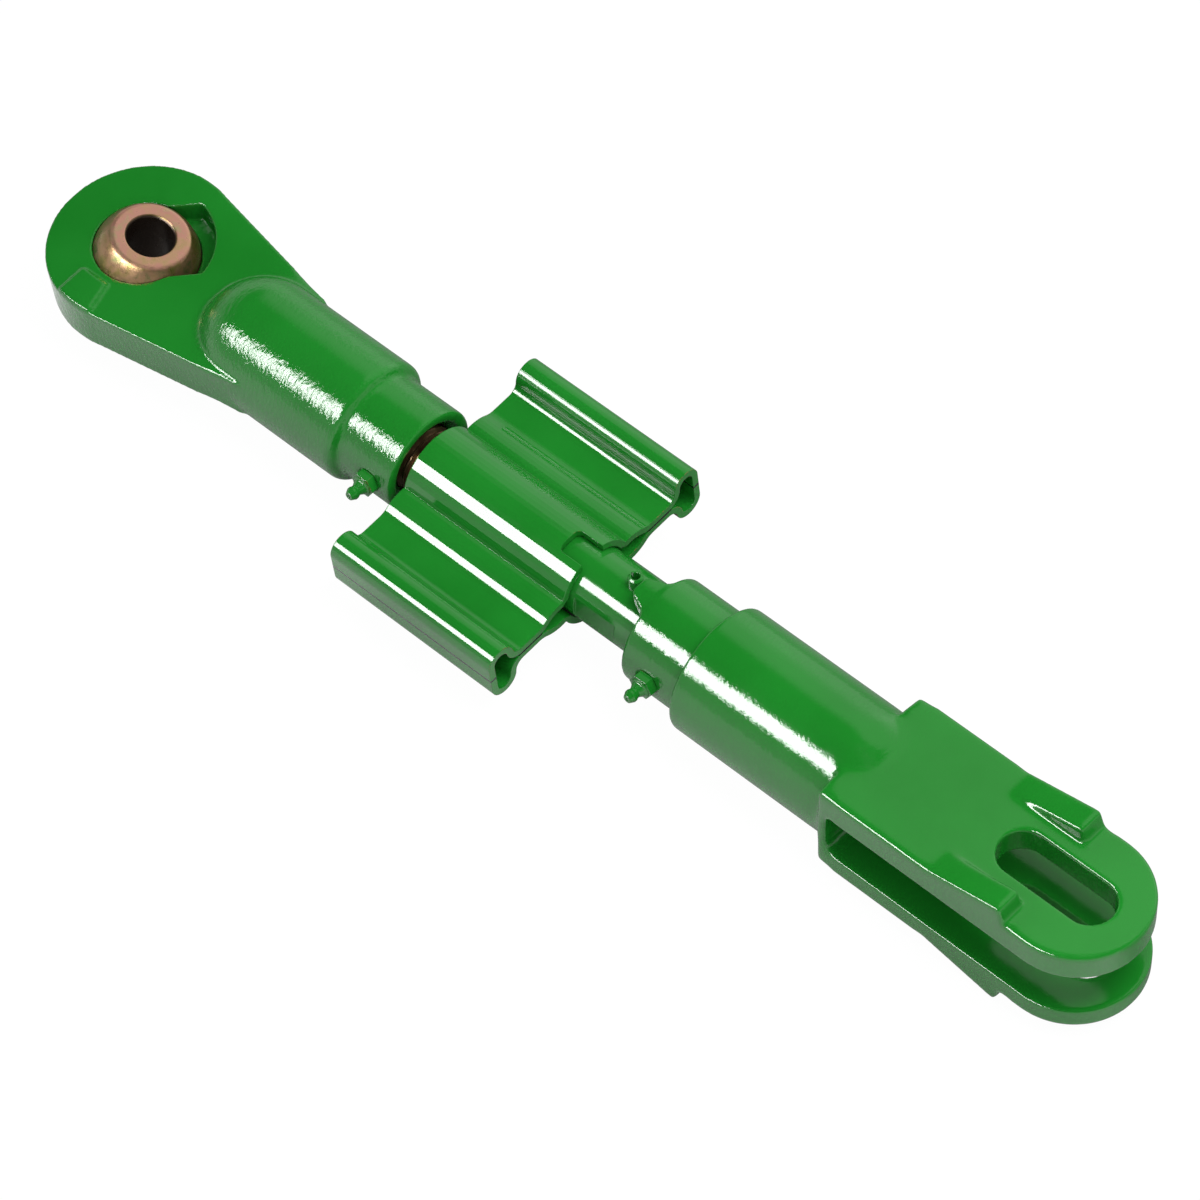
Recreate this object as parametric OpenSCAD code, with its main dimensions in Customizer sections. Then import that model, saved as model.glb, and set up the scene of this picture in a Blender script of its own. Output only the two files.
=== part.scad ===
// Three-point lift link: a forged eye with a swivel ball, a screw turned by a folded
// sheet-metal handle, and a forged fork that swivels on the far end of the screw.
// Millimetres. Origin at the centre of the ball, +X along the link towards the fork,
// +Z square to the fork's plates.

/* [Eye and ball] */
// Pin bore through the ball
pin_bore_d = 25.4; // [19:0.1:32]
// Diameter of the swivel ball
ball_d = 58.7; // [50:0.1:64]
// Width of the ball between its two flat ends
ball_w = 41.5; // [36:0.5:48]
// Outer radius of the eye
eye_r = 51.9; // [48:0.1:60]
// Thickness of the eye plate
eye_t = 27.5; // [24:0.5:34]

/* [Upper barrel] */
// Radius of the upper barrel
upper_barrel_r = 35.2; // [33:0.1:40]
// Where the upper barrel ends, measured from the ball
upper_barrel_end = 170; // [150:1:200]
// Radius of both collars
collar_r = 29.9; // [29:0.1:31]
// Length of the upper collar
upper_collar_l = 37; // [34:1:60]

/* [Screw] */
// Thread diameter
thread_d = 38.1; // [34:0.1:40]
// Radius of the plain shaft
shaft_r = 20; // [19.1:0.1:20.5]
// Gap between the upper collar and the handle at rest
collar_gap = 6; // [5.5:0.5:12]

/* [Handle] */
// Length of the folded handle
handle_l = 110; // [100:1:140]
// Half the width of the handle
handle_half_w = 77.5; // [72:0.5:90]
// Thickness of the handle sheet
sheet = 4; // [3.4:0.1:4.1]
// Width of the notches at the handle's lower end
notch_w = 15.4; // [14:0.2:18]

/* [Fork] */
// Radius of the lower barrel
lower_barrel_r = 35.9; // [34:0.1:40]
// Length of the fork from the barrel's round end to the fork's tip
fork_reach = 175; // [160:1:220]
// Width of the pin slots
slot_w = 26.9; // [22:0.1:32]
// Length of the pin slots
slot_l = 67; // [50:1:80]
// Height of the fork over both plates
fork_t = 59; // [56:0.5:64]

/* [Hidden] */
$fn = 96;
big = 200;
lap = 1;
arc_step = 7.5;
running = 0.05;

// The eye, the handle and the lugs stand turned about X against the fork, and the ball
// lies tipped in its seat
eye_turn = 5;
ball_tip = [-4.8, 12.3, 0];

// Eye plate
side_inset = 0.15;
plate_corner_r = 6;
plate_end_x = 106;
plate_end_half_w = 34.5;
pad_x = [-12.5, 5.4];
pad_y = -31.4;
pad_flare = 5.6;
pad_h = 2;
pad_inset = 0.8;
ball_r = ball_d / 2;
seat_r = ball_r + running;
loading_turn = 45;
loading_w = ball_w + 4;
loading_r = ball_r + 9.4;
bore_chamfer = 1.2;

// Upper barrel and its tapped collar
upper_dome_x = 88;
barrel_round = 4;
collar_fillet = 3;
collar_round = 1.2;
upper_collar_end = upper_barrel_end + upper_collar_l;
tapped_r = thread_d / 2 + running;
tapped_start = 70;
drill_slope = 59;
mouth_r = collar_r - 5.6;

// Screw, handle and pin along X
screw_start = tapped_start + 2;
handle_start = upper_collar_end + collar_gap;
handle_end = handle_start + handle_l;
plain_from = 82;
shaft_start = handle_start + plain_from;
shaft_chamfer = 0.9;
flats_from = 3;
flats_l = 27;
flats_x = handle_end + flats_from;
flat_half_w = 18.5;
pin_r = 4;
pin_away = 26.7;
pin_x = handle_end + pin_away;
pin_half_l = 26.8;
pin_wall = 1.6;
pin_gap = 1.8;
pin_chamfer = 1;
pin_lean = 7.5;

// Handle cross-section
notch_depth = 15.5;
notch_round = 3;
tube_r = shaft_r + sheet + 0.9;
web_z = sheet + 0.3;
lobe_r = 8.7;
lobe_z = 8.7;
lobe_y = handle_half_w - lobe_r;
lobe_blend = 6;
hump_r = 20;
hump_y = tube_r + 1.3;
hump_z = -10.9;
hump_blend = 10;
hump_blend_z = web_z + hump_blend;
hump_blend_y = hump_y + reach(hump_r + hump_blend, hump_blend_z - hump_z);
hump_turn = atan2(hump_blend_z - hump_z, hump_blend_y - hump_y);
lobe_blend_z = web_z + lobe_blend;
lobe_blend_y = lobe_y - reach(lobe_r + lobe_blend, lobe_z - lobe_blend_z);
lobe_turn = atan2(lobe_z - lobe_blend_z, lobe_y - lobe_blend_y);
hump_away = norm([hump_y, hump_z]);
crease_turn = atan2(hump_z, hump_y)
  + acos((tube_r * tube_r - hump_r * hump_r + hump_away * hump_away) / (2 * tube_r * hump_away));
crease = on_circle([0, 0], tube_r, crease_turn);
hump_crease_turn = atan2(crease[1] - hump_z, crease[0] - hump_y);

// Swivel sleeve with its lugs, and the barrel that it is fixed in
sleeve_away = 43.8;
collar_start = handle_end + sleeve_away;
lug_l = 11.8;
lug_side_clear = 1.2;
lug_tip_half_w = notch_w / 2 - lug_side_clear;
lug_root_half_w = lug_tip_half_w + 2;
lug_round = 3;
lug_cove = 6;
lug_clear = 0.6;
lug_root = 3;
lug_inset = 0.5;
barrel_away = 81;
lower_barrel_start = handle_end + barrel_away;
sleeve_r = shaft_r + running;
sleeve_wall = 6;
spigot_r = sleeve_r + sleeve_wall;
spigot_l = 25.9;
head_clear = 0.4;
head_r = spigot_r - head_clear;
head_gap = 0.1;
head_start = lower_barrel_start + spigot_l + head_gap;
head_l = 20;
head_end = head_start + head_l;
head_room = 1.5;
pocket_end = head_end + head_room;
pilot_r = 10;
lower_barrel_l = 93;
lower_dome_x = lower_barrel_start + lower_barrel_l;

// Fork
fork_half_w = 38.6;
fork_edge = 2.5;
fork_start_away = 6;
fork_start = lower_dome_x + fork_start_away;
fork_tip = lower_dome_x + fork_reach;
fork_end_x = fork_tip - fork_half_w;
fork_gap = [-16.4, 12.4];
gap_away = 12;
gap_root = lower_dome_x + gap_away;
gap_round = 6;
slot_from_tip = 51;
slot_x = fork_tip - slot_from_tip;
wedge_l = 47;
wedge_ramp_l = 43.5;
wedge_end = slot_x - lap;
wedge_start = wedge_end - wedge_l;
wedge_peak = wedge_start + wedge_ramp_l;
wedge_h = 9.5;
wedge_inner_y = 22.5;
wedge_root = 4;

// Grease fittings
upper_fitting_inset = 15;
upper_fitting_x = upper_collar_end - upper_fitting_inset;
lower_fitting_inset = 17.2;
lower_fitting_x = collar_start + lower_fitting_inset;
hex_w = 12.7;
hex_h = 5;
hex_chamfer = 0.6;
spot_r = 7.6;
spot_depth = 1.1;
shank_r = 4.9;
shank_clear = 1.8;
shank_l = collar_r - spot_depth - shaft_r - shank_clear;
cone_r = 4.6;
neck_r = 3.1;
neck_z = hex_h + 3.8;
neck_l = 0.9;
nipple_r = 3.6;
nipple_z = hex_h + 6;
nipple_l = 1.2;
nose_r = 2.3;
fitting_h = 14.7;
nozzle_r = 1;
check_r = 1.5875;
chamber_r = check_r + running;
check_seat_z = fitting_h - 1.1;
check_gap = 0.02;
check_z = check_seat_z + nozzle_r - check_r * sqrt(2) - check_gap;
coil_outer_r = 1.4;
coil_inner_r = 0.9;
coil_end_z = 2.5;
passage_r = 1.2;

painted_green = [0.13, 0.5, 0.16];
zinc_gold = [0.72, 0.58, 0.38];
steel_grey = [0.5, 0.49, 0.46];

// Distance along one leg of a right triangle from its long side and other leg
function reach(long, other) = sqrt(long * long - other * other);

// Angle of the outer tangent's normal between a big circle and a small one
function tangent_turn(dx, dy, r_big, r_small) =
  atan2(dy, dx) + acos((r_big - r_small) / norm([dx, dy]));

function on_circle(centre, r, turn) = centre + r * [cos(turn), sin(turn)];

// An outline's points along an arc, one every few degrees
function arc(centre, r, from, to) =
  let (steps = ceil(abs(to - from) / arc_step))
  [for (i = [0 : steps]) on_circle(centre, r, from + (to - from) * i / steps)];

// Closes a half outline with its own mirror image across the X axis
function both_sides(points) =
  concat(points, [for (i = [len(points) - 1 : -1 : 0]) [points[i][0], -points[i][1]]]);

// Turned shapes: children are a half profile, radius across and position up, and the
// result lies along X
module turned() {
  rotate([0, 90, 0])
    rotate_extrude()
      children();
}

module corner_cut(r) {
  difference() {
    square(r + lap);
    circle(r);
  }
}

// A half profile of a bar from x0 to x1 with rounds at its two outer corners
module bar(x0, x1, r, round0 = 0, round1 = 0) {
  difference() {
    translate([0, x0])
      square([r, x1 - x0]);
    if (round0 > 0)
      translate([r - round0, x0 + round0])
        mirror([0, 1])
          corner_cut(round0);
    if (round1 > 0)
      translate([r - round1, x1 - round1])
        corner_cut(round1);
  }
}

// A half profile of the concave blend where a bar meets a wider shoulder behind it
module cove(x, r, blend) {
  difference() {
    translate([r - lap, x - lap])
      square(blend + lap);
    translate([r + blend, x + blend])
      circle(blend);
  }
}

module disc_with_round_edge(r, t, edge) {
  rotate_extrude()
    intersection() {
      translate([0, -big])
        square([r, 2 * big]);
      union() {
        translate([0, -t / 2])
          square([r - edge, t]);
        translate([0, -t / 2 + edge])
          square([r, t - 2 * edge]);
        for (side = [-1, 1])
          translate([r - edge, side * (t / 2 - edge)])
            circle(edge);
      }
    }
}

// Rounds the top and bottom edges of a plate along the line from p to q, with the
// plate on the right-hand side of the line
module edge_rounding(p, q, t, edge) {
  run = q - p;
  for (side = [0, 1])
    translate([p[0], p[1], 0])
      rotate([0, 0, atan2(run[1], run[0])])
        mirror([0, 0, side])
          translate([0, -edge, t / 2 - edge])
            rotate([90, 0, 90])
              linear_extrude(norm(run))
                corner_cut(edge);
}

module eye_turned() {
  rotate([eye_turn, 0, 0])
    children();
}

// Eye plate seen from above: an eye circle with straight sides running to two
// rounded corners. The sides start a hair inside the circle, so that they cross it.
module eye_plate() {
  corner = [plate_end_x - plate_corner_r, plate_end_half_w - plate_corner_r];
  side_r = eye_r - side_inset;
  turn = tangent_turn(corner[0], corner[1], side_r, plate_corner_r);
  linear_extrude(eye_t, center = true) {
    circle(eye_r);
    polygon(both_sides(concat(
      [on_circle([0, 0], side_r, turn)],
      arc(corner, plate_corner_r, turn, 0)
    )));
  }
}

// Low cast pad beside the ball, flush with the eye's rim
module eye_pad() {
  intersection() {
    translate([0, 0, eye_t / 2 - lap])
      cylinder(h = pad_h + lap, r = eye_r - pad_inset);
    linear_extrude(eye_t)
      polygon([
        [pad_x[0], pad_y], [pad_x[1], pad_y], [pad_x[1] + pad_flare, -eye_r], [pad_x[0], -eye_r]
      ]);
  }
}

// Slot that lets the ball in edge-on before it is turned flat
module loading_slot() {
  rotate([0, 0, loading_turn])
    intersection() {
      cylinder(h = eye_t, r = loading_r);
      translate([0, -loading_w / 2, 0])
        cube([big, loading_w, eye_t]);
    }
}

module upper_barrel_profile() {
  intersection() {
    union() {
      translate([0, upper_dome_x])
        circle(upper_barrel_r);
      bar(upper_dome_x, upper_barrel_end, upper_barrel_r, 0, barrel_round);
      bar(upper_dome_x, upper_collar_end, collar_r, 0, collar_round);
      cove(upper_barrel_end, collar_r, collar_fillet);
    }
    square([big, big * 2]);
  }
}

// Tapped hole with a drilled end and a countersunk mouth
module tapped_hole_profile() {
  point_l = tapped_r / tan(drill_slope);
  polygon([
    [0, tapped_start - point_l], [tapped_r, tapped_start],
    [tapped_r, upper_collar_end - (mouth_r - tapped_r)], [mouth_r, upper_collar_end],
    [mouth_r + lap, upper_collar_end + lap], [0, upper_collar_end + lap]
  ]);
}

// Puts children at a fitting's seat on a collar, pointing out along -Y
module at_fitting(x) {
  translate([x, -(collar_r - spot_depth), 0])
    rotate([90, 0, 0])
      children();
}

// Flat seat, thread hole and grease passage for a fitting
module fitting_hole(x) {
  at_fitting(x) {
    cylinder(h = big, r = spot_r);
    translate([0, 0, -shank_l - lap / 2])
      cylinder(h = big, r = shank_r);
    translate([0, 0, -collar_r + spot_depth])
      cylinder(h = collar_r, r = passage_r);
  }
}

module upper_link() {
  color(painted_green)
    difference() {
      union() {
        eye_turned() {
          eye_plate();
          eye_pad();
        }
        turned()
          upper_barrel_profile();
      }
      sphere(seat_r);
      eye_turned()
        loading_slot();
      turned()
        tapped_hole_profile();
      fitting_hole(upper_fitting_x);
    }
}

module swivel_ball() {
  bore_r = pin_bore_d / 2;
  color(zinc_gold)
    rotate(ball_tip)
      difference() {
        intersection() {
          sphere(ball_r);
          cube([big, big, ball_w], center = true);
        }
        cylinder(h = big, r = bore_r, center = true);
        for (side = [0, 1])
          mirror([0, 0, side])
            translate([0, 0, ball_w / 2 - bore_chamfer])
              cylinder(h = 2 * bore_chamfer, r1 = bore_r, r2 = bore_r + 2 * bore_chamfer);
      }
}

module screw_profile() {
  thread_r = thread_d / 2;
  polygon([
    [0, screw_start], [thread_r - 2, screw_start], [thread_r, screw_start + 2],
    [thread_r, shaft_start], [shaft_r, shaft_start + shaft_chamfer],
    [shaft_r, head_start], [head_r, head_start],
    [head_r, head_end - 2], [head_r - 2, head_end], [0, head_end]
  ]);
}

module lift_screw() {
  color(steel_grey)
    difference() {
      turned()
        screw_profile();
      for (side = [0, 1])
        mirror([0, side, 0])
          translate([flats_x, flat_half_w, -big / 2])
            cube([flats_l, big, big]);
      at_pin()
        cylinder(h = big, r = pin_r, center = true);
    }
}

module at_pin() {
  translate([pin_x, 0, 0])
    rotate([eye_turn - pin_lean, 0, 0])
      children();
}

// Rolled spring pin: a tube with chamfered ends and a slit along one side
module spring_pin() {
  color(steel_grey)
    at_pin()
      difference() {
        rotate_extrude()
          polygon([
            [pin_r - pin_wall, -pin_half_l], [pin_r - pin_chamfer, -pin_half_l],
            [pin_r, -pin_half_l + pin_chamfer], [pin_r, pin_half_l - pin_chamfer],
            [pin_r - pin_chamfer, pin_half_l], [pin_r - pin_wall, pin_half_l]
          ]);
        translate([-pin_r - lap, -pin_gap / 2, -pin_half_l - lap])
          cube([pin_r + lap, pin_gap, 2 * (pin_half_l + lap)]);
      }
}

// One side of a pressed shell's skin from its top to the seam, y across and z up. The
// skin lies t inside the outer surface, which takes t off each outside bend and adds it
// to each inside bend, so the sheet keeps its thickness.
function skin(t) = concat(
  arc([0, 0], tube_r - t, 90, crease_turn),
  arc([hump_y, hump_z], hump_r - t, hump_crease_turn, hump_turn),
  arc([hump_blend_y, hump_blend_z], hump_blend + t, hump_turn + 180, 270),
  arc([lobe_blend_y, lobe_blend_z], lobe_blend + t, 270, 360 + lobe_turn),
  arc([lobe_y, lobe_z], lobe_r - t, 180 + lobe_turn, 0),
  [[handle_half_w - t, 0]]
);

function other_side(points) = [for (i = [len(points) - 1 : -1 : 1]) [-points[i][0], points[i][1]]];

function backwards(points) = [for (i = [len(points) - 1 : -1 : 0]) points[i]];

module sheet_section() {
  outer = skin(0);
  inner = skin(sheet);
  polygon(concat(
    other_side(outer), outer,
    backwards(concat(other_side(inner), inner))
  ));
}

module handle_notch() {
  translate([handle_end - notch_depth, 0, -big / 2])
    linear_extrude(big) {
      for (side = [-1, 1])
        translate([notch_round, side * (notch_w / 2 - notch_round)])
          circle(notch_round);
      translate([0, -notch_w / 2 + notch_round])
        square([notch_depth, notch_w - 2 * notch_round]);
      translate([notch_round, -notch_w / 2])
        square([notch_depth, notch_w]);
    }
}

module handle_shell() {
  difference() {
    translate([handle_start, 0, 0])
      rotate([90, 0, 90])
        linear_extrude(handle_l)
          sheet_section();
    handle_notch();
  }
}

module handle_top_shell() {
  color(painted_green)
    eye_turned()
      handle_shell();
}

module handle_bottom_shell() {
  color(painted_green * 0.9)
    eye_turned()
      mirror([0, 0, 1])
        handle_shell();
}

// Locking lug seen from above: a blunt tooth pointing back at the handle, with coves
// where it meets the collar
module lug_outline() {
  for (side = [0, 1])
    mirror([0, side]) {
      difference() {
        polygon([
          [lug_l + lug_root, 0], [0, 0], [0, lug_tip_half_w],
          [lug_l, lug_root_half_w], [lug_l + lug_root, lug_root_half_w]
        ]);
        translate([lug_round, lug_tip_half_w - lug_round])
          mirror([1, 0])
            corner_cut(lug_round);
      }
      difference() {
        translate([lug_l - lug_cove, lug_tip_half_w])
          square([lug_cove + lug_root, lug_root_half_w - lug_tip_half_w + lug_cove]);
        translate([lug_l - lug_cove, lug_root_half_w + lug_cove])
          circle(lug_cove);
      }
    }
}

module locking_lugs() {
  intersection() {
    turned()
      translate([shaft_r + lug_clear, 0])
        square([collar_r - lug_inset - shaft_r - lug_clear, big * 4]);
    eye_turned()
      translate([collar_start - lug_l, 0, -big / 2])
        linear_extrude(big)
          lug_outline();
  }
}

module swivel_collar() {
  color(painted_green)
    difference() {
      union() {
        turned()
          union() {
            bar(collar_start, lower_barrel_start, collar_r, collar_round, 0);
            bar(collar_start, lower_barrel_start + spigot_l, spigot_r, 0, 1);
          }
        locking_lugs();
      }
      turned()
        translate([0, collar_start - lug_l - lap])
          square([sleeve_r, big]);
      fitting_hole(lower_fitting_x);
    }
}

// Solid fork block: straight sides, a round tip and rounded edges
module fork_block() {
  start = [fork_start, fork_half_w];
  tip = [fork_end_x, fork_half_w];
  translate([fork_end_x, 0, 0])
    disc_with_round_edge(fork_half_w, fork_t, fork_edge);
  difference() {
    translate([fork_start, -fork_half_w, -fork_t / 2])
      cube([fork_end_x - fork_start, 2 * fork_half_w, fork_t]);
    for (side = [0, 1])
      mirror([0, side, 0])
        edge_rounding(start, tip, fork_t, fork_edge);
  }
}

// One raised wedge beside the slot, low towards the barrel and steep towards the tip
module wedge_pads() {
  for (turn = [0, 1], side = [0, 1])
    mirror([0, 0, turn])
      mirror([0, side, 0])
        translate([0, fork_half_w, fork_t / 2])
          rotate([90, 0, 0])
            linear_extrude(fork_half_w - wedge_inner_y)
              polygon([
                [wedge_start, 0], [wedge_peak, wedge_h], [wedge_end, 0],
                [wedge_end, -wedge_root], [wedge_start, -wedge_root]
              ]);
}

// Gap between the two fork plates, rounded at its root, seen from the side
module fork_gap_shape() {
  gap_h = fork_gap[1] - fork_gap[0];
  translate([gap_root, fork_gap[0]]) {
    for (z = [gap_round, gap_h - gap_round])
      translate([gap_round, z])
        circle(gap_round);
    translate([0, gap_round])
      square([gap_round, gap_h - 2 * gap_round]);
    translate([gap_round, 0])
      square([big, gap_h]);
  }
}

module pin_slot() {
  half_run = (slot_l - slot_w) / 2;
  translate([slot_x, 0, -big / 2])
    linear_extrude(big) {
      for (side = [-1, 1])
        translate([side * half_run, 0])
          circle(slot_w / 2);
      square([2 * half_run, slot_w], center = true);
    }
}

module lower_barrel_profile() {
  intersection() {
    union() {
      translate([0, lower_dome_x])
        circle(lower_barrel_r);
      bar(lower_barrel_start, lower_dome_x, lower_barrel_r, collar_round, 0);
    }
    square([big, big * 4]);
  }
}

module lower_link() {
  color(painted_green)
    difference() {
      union() {
        turned()
          lower_barrel_profile();
        fork_block();
        wedge_pads();
      }
      translate([0, big / 2, 0])
        rotate([90, 0, 0])
          linear_extrude(big)
            fork_gap_shape();
      pin_slot();
      turned()
        union() {
          translate([0, lower_barrel_start - lap])
            square([spigot_r, pocket_end - lower_barrel_start + lap]);
          translate([0, lower_barrel_start])
            square([pilot_r, gap_root - lower_barrel_start + lap]);
        }
    }
}

// Grease fitting: threaded shank, hexagon, tapered neck and nipple, with a check ball
// held up against the nozzle by a light coil
module fitting_body() {
  difference() {
    union() {
      translate([0, 0, -shank_l])
        cylinder(h = shank_l + lap, r = shank_r);
      cylinder(h = hex_h, r = hex_w / 2 / cos(30), $fn = 6);
      rotate_extrude()
        polygon([
          [0, 0], [hex_w / 2 - hex_chamfer, 0],
          [hex_w / 2 - hex_chamfer, hex_h + hex_chamfer], [cone_r, hex_h + 2 * hex_chamfer],
          [neck_r, neck_z], [neck_r, neck_z + neck_l], [nipple_r, nipple_z],
          [nipple_r, nipple_z + nipple_l], [nose_r, fitting_h], [0, fitting_h]
        ]);
    }
    rotate_extrude()
      polygon([
        [0, -shank_l - lap], [chamber_r, -shank_l - lap],
        [chamber_r, check_seat_z - chamber_r + nozzle_r], [nozzle_r, check_seat_z],
        [nozzle_r, fitting_h + lap], [0, fitting_h + lap]
      ]);
  }
}

module fitting_ball() {
  translate([0, 0, check_z])
    sphere(check_r, $fn = 48);
}

// Coil spring below the check ball, as the sleeve that the coil fills
module fitting_spring() {
  top = check_z - reach(check_r, coil_inner_r);
  rotate_extrude()
    translate([coil_inner_r, coil_end_z])
      square([coil_outer_r - coil_inner_r, top - coil_end_z]);
}

module upper_fitting_body() {
  color(steel_grey)
    at_fitting(upper_fitting_x)
      fitting_body();
}

module upper_fitting_ball() {
  color(steel_grey)
    at_fitting(upper_fitting_x)
      fitting_ball();
}

module upper_fitting_spring() {
  color(steel_grey)
    at_fitting(upper_fitting_x)
      fitting_spring();
}

module lower_fitting_body() {
  color(steel_grey)
    at_fitting(lower_fitting_x)
      fitting_body();
}

module lower_fitting_ball() {
  color(steel_grey)
    at_fitting(lower_fitting_x)
      fitting_ball();
}

module lower_fitting_spring() {
  color(steel_grey)
    at_fitting(lower_fitting_x)
      fitting_spring();
}

upper_link();
swivel_ball();
lift_screw();
spring_pin();
handle_top_shell();
handle_bottom_shell();
swivel_collar();
lower_link();
upper_fitting_body();
upper_fitting_ball();
upper_fitting_spring();
lower_fitting_body();
lower_fitting_ball();
lower_fitting_spring();
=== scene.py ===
# %% [markdown]
# # A three-point lift link
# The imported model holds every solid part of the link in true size: the forged eye, the
# ball, the screw, the folded handle, the sleeve and the fork. This lesson loads it and
# measures its box. What follows gives each part its finish, and makes the details that
# are too fine for the solids, such as the screw's thread.

# %% Load the model and measure it
import math

import bpy
from mathutils import Matrix, Vector


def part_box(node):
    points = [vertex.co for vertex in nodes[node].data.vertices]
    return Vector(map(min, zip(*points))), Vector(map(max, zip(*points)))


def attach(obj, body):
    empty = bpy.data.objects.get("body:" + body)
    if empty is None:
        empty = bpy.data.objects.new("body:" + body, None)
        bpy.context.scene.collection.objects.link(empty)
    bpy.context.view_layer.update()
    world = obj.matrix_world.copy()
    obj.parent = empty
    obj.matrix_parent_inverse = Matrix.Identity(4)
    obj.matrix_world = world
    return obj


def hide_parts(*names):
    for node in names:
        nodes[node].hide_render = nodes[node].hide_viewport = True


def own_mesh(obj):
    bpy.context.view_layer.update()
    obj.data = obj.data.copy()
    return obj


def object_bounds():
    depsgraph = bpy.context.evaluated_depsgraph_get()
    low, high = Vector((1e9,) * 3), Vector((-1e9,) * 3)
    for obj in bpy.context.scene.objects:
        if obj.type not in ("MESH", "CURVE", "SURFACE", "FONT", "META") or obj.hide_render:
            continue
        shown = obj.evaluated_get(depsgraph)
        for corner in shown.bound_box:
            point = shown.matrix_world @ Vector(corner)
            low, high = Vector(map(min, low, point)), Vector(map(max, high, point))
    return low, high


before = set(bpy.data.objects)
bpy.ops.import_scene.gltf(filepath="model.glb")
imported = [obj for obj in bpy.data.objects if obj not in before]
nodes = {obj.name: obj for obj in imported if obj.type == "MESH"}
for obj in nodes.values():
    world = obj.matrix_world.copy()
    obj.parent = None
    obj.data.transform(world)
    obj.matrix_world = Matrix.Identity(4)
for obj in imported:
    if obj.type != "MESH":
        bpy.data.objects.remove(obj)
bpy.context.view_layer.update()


# %% [markdown]
# ## The camera
# The photograph was taken from above and in front, from the fork's side, with a long
# lens. Six values say all of that: two angles, a roll, a distance, a focal length and
# the point that the lens looks at. They were found by matching the outlines of the eye,
# the barrels and the fork. A camera in Blender looks along its own -Z, so the three
# directions are put into a matrix in the order right, up, backwards.

# %% Camera
PHOTO_SIDE = 1200
SENSOR = 0.036
VIEW_TURN = math.radians(-44.650)
VIEW_HEIGHT = math.radians(52.953)
VIEW_ROLL = math.radians(-2.480)
VIEW_DISTANCE = 2.6379
FOCAL_PIXELS = 5270.1
LOOK_AT = Vector((0.332313, -0.007069, 0.0))


def unit_vectors_of_view(turn, height, roll):
    """Right, up and forward of a camera that looks back along the given angles."""
    back = Vector((
        math.cos(height) * math.sin(-turn),
        -math.cos(height) * math.cos(-turn),
        math.sin(height),
    ))
    forward = -back
    level_right = forward.cross(Vector((0, 0, 1))).normalized()
    level_up = level_right.cross(forward)
    right = math.cos(roll) * level_right + math.sin(roll) * level_up
    up = math.cos(roll) * level_up - math.sin(roll) * level_right
    return right, up, forward


def place_camera():
    right, up, forward = unit_vectors_of_view(VIEW_TURN, VIEW_HEIGHT, VIEW_ROLL)
    lens = bpy.data.cameras.new("photo_camera")
    lens.sensor_fit = "AUTO"
    lens.sensor_width = SENSOR * 1000
    lens.lens = FOCAL_PIXELS / PHOTO_SIDE * SENSOR * 1000
    lens.clip_end = 20
    camera = bpy.data.objects.new("photo_camera", lens)
    bpy.context.scene.collection.objects.link(camera)
    spot = LOOK_AT - forward * VIEW_DISTANCE
    pose = Matrix((right, up, -forward)).transposed().to_4x4()
    pose.translation = spot
    camera.matrix_world = pose
    bpy.context.scene.camera = camera
    print("camera at", [round(v, 3) for v in spot], "lens", round(lens.lens, 1), "mm")


place_camera()


# %% [markdown]
# ## Light
# Gloss paint shows its surroundings, so two things are set apart. The soft light that
# colours the paint comes from a plain sky, a little brighter overhead, and a top light.
# What the gloss mirrors is drawn for it: white walls that fade upward, a bright patch
# high behind the link, a card on the floor in front, and a long softbox, which draws one
# crisp stripe along every round part. Its end towards the ball is narrower. The Light
# Path node tells the two apart: it knows whether a ray is a mirrored one.

# %% Studio
bpy.context.scene.view_settings.view_transform = "Standard"
FLOOR_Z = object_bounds()[0][2] - 0.0005
FLOOR_REACH = 6.0
FLOOR_GREY = (0.55, 0.55, 0.55, 1)
SEEN_FLOOR = 1.05
CARD_GLOW = 1.15
FAR_FLOOR_GLOW = 0.35
SHADE_REACH = 0.12
SHADE_DEPTH = 1.6
GLOW_SHARE = 0.93
SKY_LEVEL = 0.64
SKY_RISE = 0.30
WALL_TOP, WALL_FOOT = 0.62, 0.10
PATCH_TOWARDS = (0.0, 0.75, 0.66)
PATCH_RIM, PATCH_CORE = 0.78, 0.90
PATCH_GLOW = 0.9
LEAST_GLOW = 0.03
LINK_MIDDLE = Vector((0.33, 0, 0))
STRIPE_TOWARDS = (-0.49, -0.665, 0.56)
STRIPE_AWAY = 1.9
TOP_TOWARDS = (0.42, 0.15, 1.0)
TOP_AWAY = 1.25


def link_nodes(tree, *pairs):
    for start, end in pairs:
        tree.links.new(start, end)


def calc(tree, operation, a, b=None, clamp=False):
    node = tree.nodes.new("ShaderNodeMath")
    node.operation = operation
    node.use_clamp = clamp
    for socket, value in zip(node.inputs, (a, b)):
        if value is None:
            continue
        if isinstance(value, (int, float)):
            socket.default_value = value
        else:
            tree.links.new(value, socket)
    return node.outputs[0]


def fade(tree, value, low, high):
    """0 below low, 1 above high, smooth between. low may also lie above high."""
    node = tree.nodes.new("ShaderNodeMapRange")
    node.interpolation_type = "SMOOTHSTEP"
    backwards = low > high
    node.inputs["From Min"].default_value = min(low, high)
    node.inputs["From Max"].default_value = max(low, high)
    node.inputs["To Min"].default_value = 1.0 if backwards else 0.0
    node.inputs["To Max"].default_value = 0.0 if backwards else 1.0
    tree.links.new(value, node.inputs["Value"])
    return node.outputs["Result"]


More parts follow.
